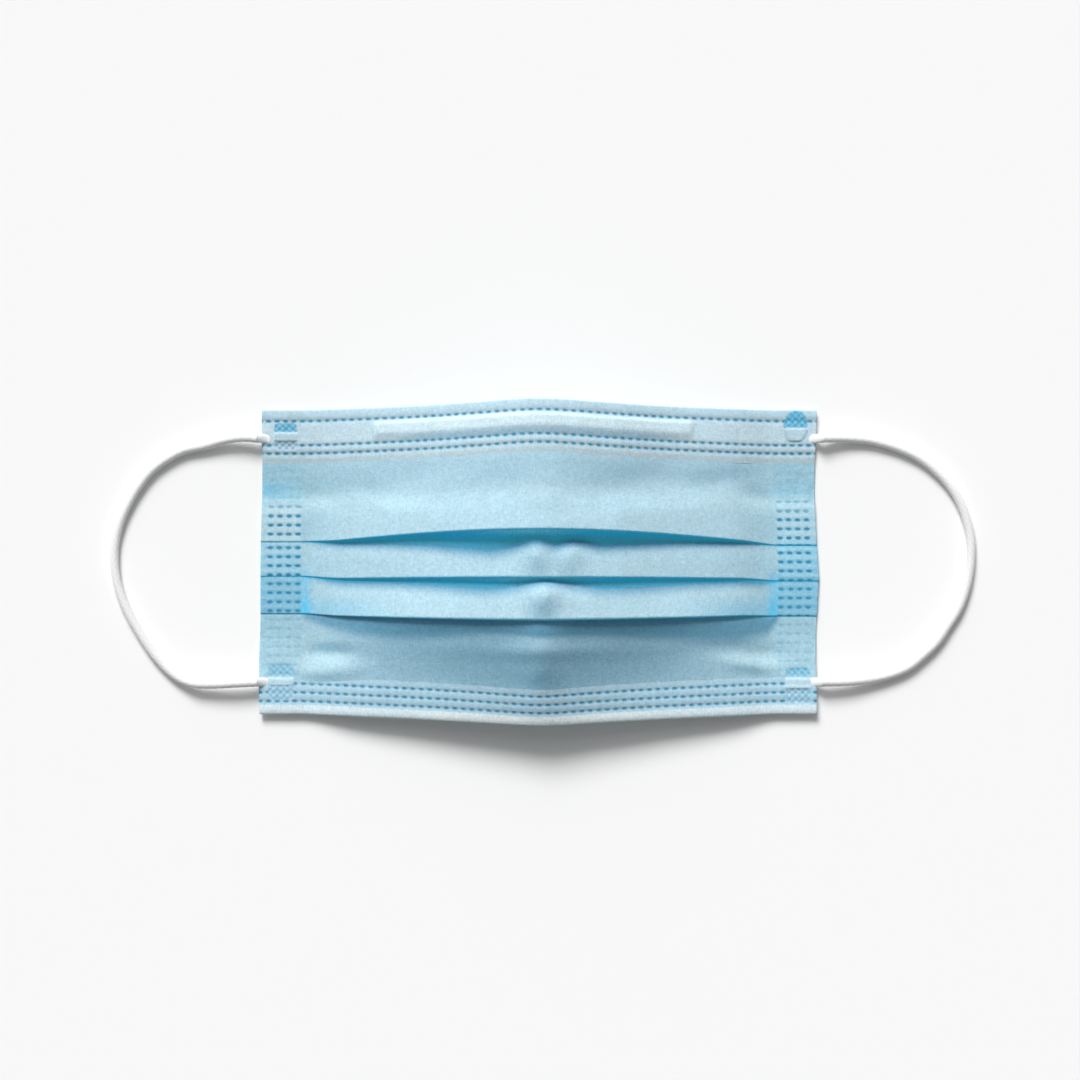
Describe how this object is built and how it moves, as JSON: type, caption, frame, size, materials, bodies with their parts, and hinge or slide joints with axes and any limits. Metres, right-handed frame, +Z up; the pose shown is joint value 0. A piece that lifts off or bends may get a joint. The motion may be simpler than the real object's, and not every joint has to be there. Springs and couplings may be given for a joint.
{
  "type": "surgical face mask",
  "caption": "Disposable pleated face mask lying outer face up, with hemmed edges, a nose wire and two spread elastic ear loops.",
  "frame": {"origin": "on the table under the middle of the mask, cords left out", "axes": "+X across the mask to the wearer's left ear loop, +Y to the nose edge, +Z up out of the outer face"},
  "size_m": [0.2723, 0.1012, 0.0234],
  "materials": {
    "outer_cloth": "matte light blue spunbond non-woven, welded in rows of small dashes",
    "hem_cloth": "matte pale blue spunbond non-woven, white ply folded over blue",
    "wire": "white plastic-coated nose wire",
    "elastic": "matte white knitted round elastic"
  },
  "bodies": {
    "root": {"pleated_panel": "outer_cloth", "nose_hem": "hem_cloth", "chin_hem": "hem_cloth", "nose_wire": "wire", "ear_loop_left": "elastic", "ear_loop_right": "elastic", "loop_weld_nose_left": "elastic", "loop_weld_nose_right": "elastic", "loop_weld_chin_left": "elastic", "loop_weld_chin_right": "elastic"}
  },
  "joints": []
}
